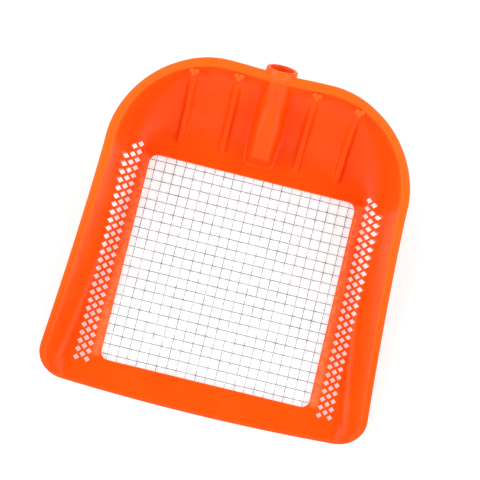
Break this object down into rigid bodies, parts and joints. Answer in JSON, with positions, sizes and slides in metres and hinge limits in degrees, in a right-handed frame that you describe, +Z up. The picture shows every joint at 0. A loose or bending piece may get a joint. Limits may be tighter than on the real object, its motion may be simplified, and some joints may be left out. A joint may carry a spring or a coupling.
{
  "type": "beach sand scoop",
  "caption": "Wide open plastic scoop pan with a raised rear wall, a woven wire sifting window in its floor, rows of diamond sifting holes and an angled tapered handle socket",
  "frame": {"origin": "under the middle of the bounding box, on the plane of the pan's underside", "axes": "+X to the right across the pan, +Y to the rear towards the handle socket, +Z up; the digging lip points to -Y"},
  "size_m": [0.327, 0.3508, 0.0783],
  "materials": {
    "shell_plastic": "glossy moulded polypropylene, orange",
    "mesh_wire": "galvanised steel wire"
  },
  "bodies": {
    "root": {"scoop_shell": "shell_plastic", "warp_wire_01": "mesh_wire", "warp_wire_02": "mesh_wire", "warp_wire_03": "mesh_wire", "warp_wire_04": "mesh_wire", "warp_wire_05": "mesh_wire", "warp_wire_06": "mesh_wire", "warp_wire_07": "mesh_wire", "warp_wire_08": "mesh_wire", "warp_wire_09": "mesh_wire", "warp_wire_10": "mesh_wire", "warp_wire_11": "mesh_wire", "warp_wire_12": "mesh_wire", "warp_wire_13": "mesh_wire", "warp_wire_14": "mesh_wire", "warp_wire_15": "mesh_wire", "warp_wire_16": "mesh_wire", "warp_wire_17": "mesh_wire", "warp_wire_18": "mesh_wire", "warp_wire_19": "mesh_wire", "warp_wire_20": "mesh_wire", "warp_wire_21": "mesh_wire", "weft_wire_01": "mesh_wire", "weft_wire_02": "mesh_wire", "weft_wire_03": "mesh_wire", "weft_wire_04": "mesh_wire", "weft_wire_05": "mesh_wire", "weft_wire_06": "mesh_wire", "weft_wire_07": "mesh_wire", "weft_wire_08": "mesh_wire", "weft_wire_09": "mesh_wire", "weft_wire_10": "mesh_wire", "weft_wire_11": "mesh_wire", "weft_wire_12": "mesh_wire", "weft_wire_13": "mesh_wire", "weft_wire_14": "mesh_wire", "weft_wire_15": "mesh_wire", "weft_wire_16": "mesh_wire", "weft_wire_17": "mesh_wire", "weft_wire_18": "mesh_wire", "weft_wire_19": "mesh_wire", "weft_wire_20": "mesh_wire", "weft_wire_21": "mesh_wire"}
  },
  "joints": []
}
